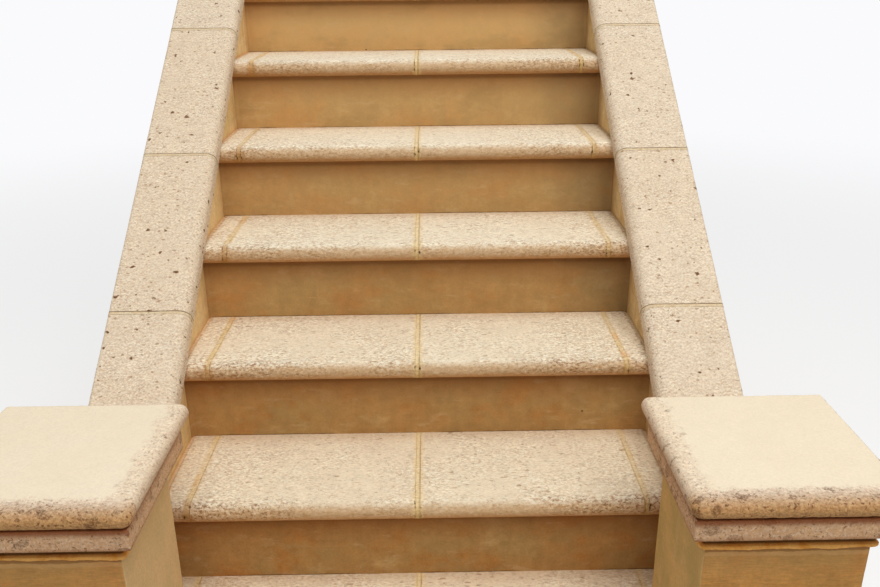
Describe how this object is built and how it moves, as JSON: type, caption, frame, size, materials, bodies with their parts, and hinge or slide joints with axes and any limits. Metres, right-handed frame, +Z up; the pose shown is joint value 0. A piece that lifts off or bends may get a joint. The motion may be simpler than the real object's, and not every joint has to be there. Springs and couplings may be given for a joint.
{
  "type": "garden stone steps",
  "caption": "Straight flight of bullnosed stone steps between rendered raking cheek walls with stone copings and capped square piers at the foot.",
  "frame": {"origin": "on the ground, under the centre of the whole outline", "axes": "+Y up the flight, +X to the right going up, +Z up"},
  "size_m": [1.696, 2.123, 1.77],
  "materials": {
    "tread_stone": "pitted, lightly worn",
    "coping_stone": "pitted",
    "cap_stone": "smooth top, pitted edges",
    "render": "matt, stained",
    "mortar": "matt",
    "core": "rough"
  },
  "bodies": {
    "root": {"cap_bed_left": "mortar", "cap_bed_right": "mortar", "cap_slab_left": "cap_stone", "cap_slab_right": "cap_stone", "cheek_wall_left": "render", "cheek_wall_right": "render", "coping_left_1": "coping_stone", "coping_left_2": "coping_stone", "coping_left_3": "coping_stone", "coping_left_4": "coping_stone", "coping_left_5": "coping_stone", "coping_mortar_left": "mortar", "coping_mortar_right": "mortar", "coping_right_1": "coping_stone", "coping_right_2": "coping_stone", "coping_right_3": "coping_stone", "coping_right_4": "coping_stone", "coping_right_5": "coping_stone", "pier_left": "render", "pier_right": "render", "riser_1": "render", "riser_2": "render", "riser_3": "render", "riser_4": "render", "riser_5": "render", "riser_6": "render", "riser_7": "render", "stair_core": "core", "tread_1": "tread_stone", "tread_2": "tread_stone", "tread_3": "tread_stone", "tread_4": "tread_stone", "tread_5": "tread_stone", "tread_6": "tread_stone", "tread_7": "tread_stone", "tread_mortar": "mortar", "under_slab_left": "cap_stone", "under_slab_right": "cap_stone"}
  },
  "joints": []
}
